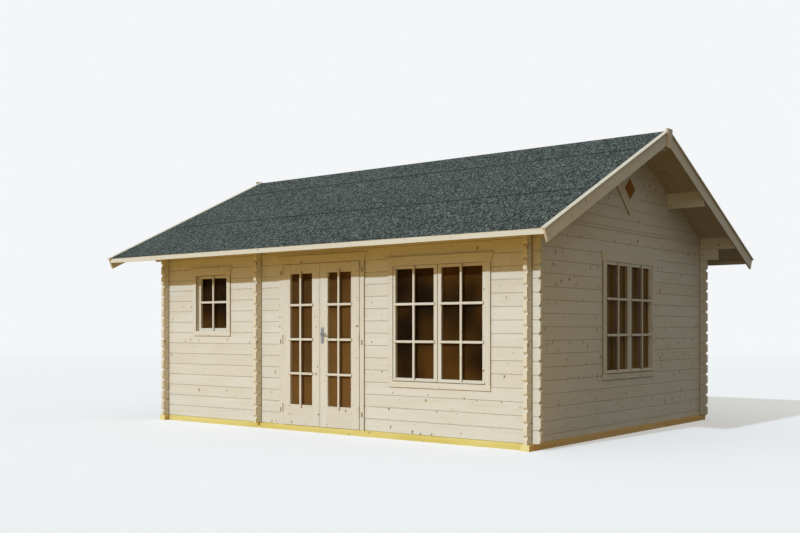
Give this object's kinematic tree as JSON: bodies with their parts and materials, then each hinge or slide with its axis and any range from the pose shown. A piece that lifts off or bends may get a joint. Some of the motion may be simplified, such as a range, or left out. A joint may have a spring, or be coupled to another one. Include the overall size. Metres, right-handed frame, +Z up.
{
  "type": "log cabin",
  "caption": "Timber log cabin with a felted saddle roof, crossed log corners, a glazed double door, framed windows and a diamond light in the gable.",
  "frame": {"origin": "on the ground, under the middle of the roof's plan", "axes": "+X to the right along the front, +Y from the front to the back, +Z up; the door faces -Y"},
  "size_m": [6.572, 5.4454, 3.4212],
  "materials": {
    "spruce": "planed spruce, untreated, pale cream with knots",
    "treated_timber": "pressure treated timber, yellow-green",
    "roof_felt": "bitumen roofing felt with dark green-grey granules",
    "glass": "clear float glass",
    "steel": "satin steel fittings"
  },
  "bodies": {
    "cabin": {"apex_plates": "spruce", "back_wall": "spruce", "back_wall_upper_logs": "spruce", "diamond_casings": "spruce", "door_surround": "spruce", "eave_fascias": "spruce", "floors": "spruce", "foundation_cross_beams": "treated_timber", "foundation_long_beams": "treated_timber", "front_bargeboards": "spruce", "front_cover_strips": "spruce", "front_wall_lower_logs": "spruce", "front_wall_pier_logs": "spruce", "front_wall_upper_logs": "spruce", "front_window_sashes": "spruce", "front_window_surround": "spruce", "gable_strips": "spruce", "gable_window_sashes": "spruce", "gable_window_surround": "spruce", "hinge_pins": "steel", "left_gable_triangle": "spruce", "left_gable_wall": "spruce", "partition_wall_front": "spruce", "partition_wall_rear": "spruce", "partition_wall_top": "spruce", "purlins": "spruce", "rear_bargeboards": "spruce", "rear_cover_strips": "spruce", "ridge_felt": "roof_felt", "right_gable_lower_logs": "spruce", "right_gable_pier_logs": "spruce", "right_gable_triangle": "spruce", "right_gable_upper_logs": "spruce", "roof_boards_front": "spruce", "roof_boards_rear": "spruce", "roof_felt_front": "roof_felt", "roof_felt_rear": "roof_felt", "small_window_sash": "spruce", "small_window_surround": "spruce", "window_panes": "glass"},
    "left_leaf": {"left_door_leaf": "spruce", "left_leaf_glass": "glass", "left_leaf_hinges": "steel"},
    "right_leaf": {"right_door_leaf": "spruce", "right_leaf_glass": "glass", "right_leaf_hinges": "steel", "door_handle": "steel"}
  },
  "joints": [
    {"name": "left_leaf_swing", "type": "hinge", "parent": "cabin", "child": "left_leaf", "pos_m": [-0.6125, -2.17, 1.07], "axis": [0, 0, -1], "range_deg": [0, 160]},
    {"name": "right_leaf_swing", "type": "hinge", "parent": "cabin", "child": "right_leaf", "pos_m": [0.5785, -2.17, 1.07], "axis": [0, 0, 1], "range_deg": [0, 160]}
  ]
}
